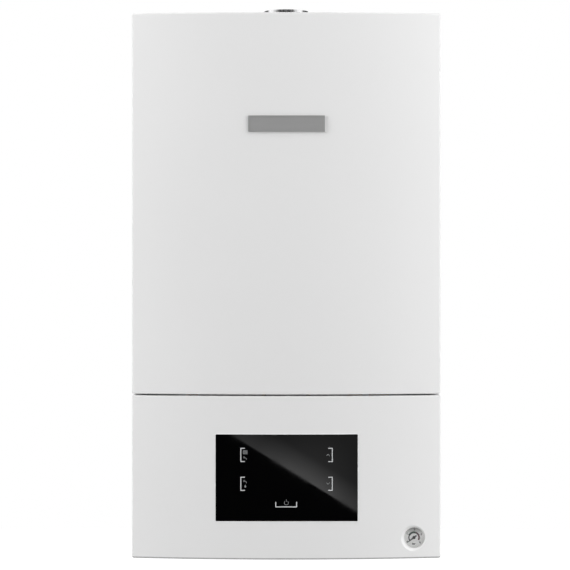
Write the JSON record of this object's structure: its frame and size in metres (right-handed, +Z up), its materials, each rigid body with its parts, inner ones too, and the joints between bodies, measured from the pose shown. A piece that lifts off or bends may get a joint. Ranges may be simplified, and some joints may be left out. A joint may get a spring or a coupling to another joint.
{
  "type": "gas boiler",
  "caption": "Wall-hung gas boiler: bowed painted casing, tilting front cover, fold-down control panel with display and gauge, sealed burner chamber, fan, pump and pipe connections.",
  "frame": {"origin": "centre of the wall bracket's back face, on the wall", "axes": "+Z up, +Y into the wall, -Y towards the room, +X to the right when the front is seen"},
  "size_m": [0.4, 0.3008, 0.7392],
  "materials": {
    "casing_paint": "white powder coat, satin",
    "fascia_plastic": "white moulded plastic, satin",
    "black_glass": "black-backed glass, polished",
    "clear_glass": "clear, polished",
    "badge_metal": "bare silver plate, fine brushed",
    "gauge_white": "white moulded plastic",
    "zinc_sheet": "galvanised sheet",
    "flue_steel": "bright stainless",
    "cast_aluminium": "die cast and pressed aluminium",
    "copper": "drawn copper tube, satin",
    "brass": "machined and cast brass",
    "dark_plastic": "black moulded plastic",
    "red_plastic": "red moulded plastic",
    "red_paint": "red vessel paint, satin",
    "black_paint": "black paint, satin",
    "board_green": "green solder mask",
    "black_rubber": "matt rubber",
    "ceramic_board": "ceramic fibre and fired ceramic"
  },
  "bodies": {
    "frame": {"wall_bracket": "zinc_sheet", "back_frame": "zinc_sheet", "side_panel_left": "casing_paint", "side_panel_right": "casing_paint", "top_plate": "zinc_sheet", "cross_rail": "zinc_sheet", "pipe_plate": "zinc_sheet", "hinge_bracket_left": "zinc_sheet", "hinge_bracket_right": "zinc_sheet", "air_chamber": "zinc_sheet", "chamber_cover": "zinc_sheet", "sight_glass": "clear_glass", "flue_collar": "cast_aluminium", "flue_spigot": "flue_steel", "air_port_cover": "zinc_sheet", "fan_housing": "cast_aluminium", "fan_motor": "dark_plastic", "flue_hood": "cast_aluminium", "heat_exchanger": "copper", "combustion_box": "ceramic_board", "burner": "flue_steel", "gas_manifold": "cast_aluminium", "electrode_block": "ceramic_board", "pressure_switch": "dark_plastic", "pressure_hose": "black_rubber", "expansion_vessel": "red_paint", "vessel_pipe": "copper", "pump_housing": "brass", "pump_motor": "black_paint", "air_vent": "brass", "flow_block": "brass", "return_block": "brass", "plate_heat_exchanger": "flue_steel", "diverter_actuator": "dark_plastic", "safety_valve": "brass", "gas_valve": "cast_aluminium", "gas_pipe_lower": "copper", "gas_pipe_upper": "cast_aluminium", "flow_pipe": "copper", "return_pipe": "copper", "hot_water_pipe": "copper", "cold_water_pipe": "copper", "filling_valve": "brass"},
    "front_cover": {"front_cover": "casing_paint", "badge_plate": "badge_metal"},
    "control_panel": {"control_fascia": "fascia_plastic", "display_glass": "black_glass", "display_board": "board_green", "control_box": "dark_plastic", "control_box_lid": "dark_plastic", "main_board": "board_green", "gauge_case": "gauge_white", "gauge_lens": "clear_glass"},
    "gauge_needle": {"gauge_needle": "dark_plastic"},
    "fan_impeller": {"fan_impeller": "cast_aluminium"},
    "pump_rotor": {"pump_rotor": "dark_plastic"},
    "safety_valve_knob": {"safety_valve_knob": "red_plastic"},
    "filling_valve_knob": {"filling_valve_knob": "dark_plastic"},
    "air_vent_cap": {"air_vent_cap": "dark_plastic"}
  },
  "joints": [
    {"name": "cover_tilt", "type": "hinge", "parent": "frame", "child": "front_cover", "pos_m": [0, -0.2436, 0.0588], "axis": [-1, 0, 0], "range_deg": [0, 30]},
    {"name": "panel_fold", "type": "hinge", "parent": "frame", "child": "control_panel", "pos_m": [0, -0.262, -0.633], "axis": [1, 0, 0], "range_deg": [0, 90]},
    {"name": "gauge_needle_turn", "type": "hinge", "parent": "control_panel", "child": "gauge_needle", "pos_m": [0.1654, -0.281, -0.6187], "axis": [0, 1, 0], "range_deg": [0, 255]},
    {"name": "fan_spin", "type": "hinge", "parent": "frame", "child": "fan_impeller", "pos_m": [-0.05, -0.1365, -0.039], "axis": [0, 1, 0], "continuous": true},
    {"name": "pump_spin", "type": "hinge", "parent": "frame", "child": "pump_rotor", "pos_m": [0.122, -0.1, -0.517], "axis": [0, 1, 0], "continuous": true},
    {"name": "safety_valve_turn", "type": "hinge", "parent": "frame", "child": "safety_valve_knob", "pos_m": [0.13, -0.17, -0.585], "axis": [0, -1, 0], "range_deg": [0, 90]},
    {"name": "filling_valve_turn", "type": "hinge", "parent": "frame", "child": "filling_valve_knob", "pos_m": [0.0975, -0.11, -0.635], "axis": [0, 0, -1], "range_deg": [0, 270]},
    {"name": "air_vent_cap_turn", "type": "hinge", "parent": "frame", "child": "air_vent_cap", "pos_m": [0.096, -0.089, -0.44], "axis": [0, 0, 1], "range_deg": [0, 360]}
  ]
}
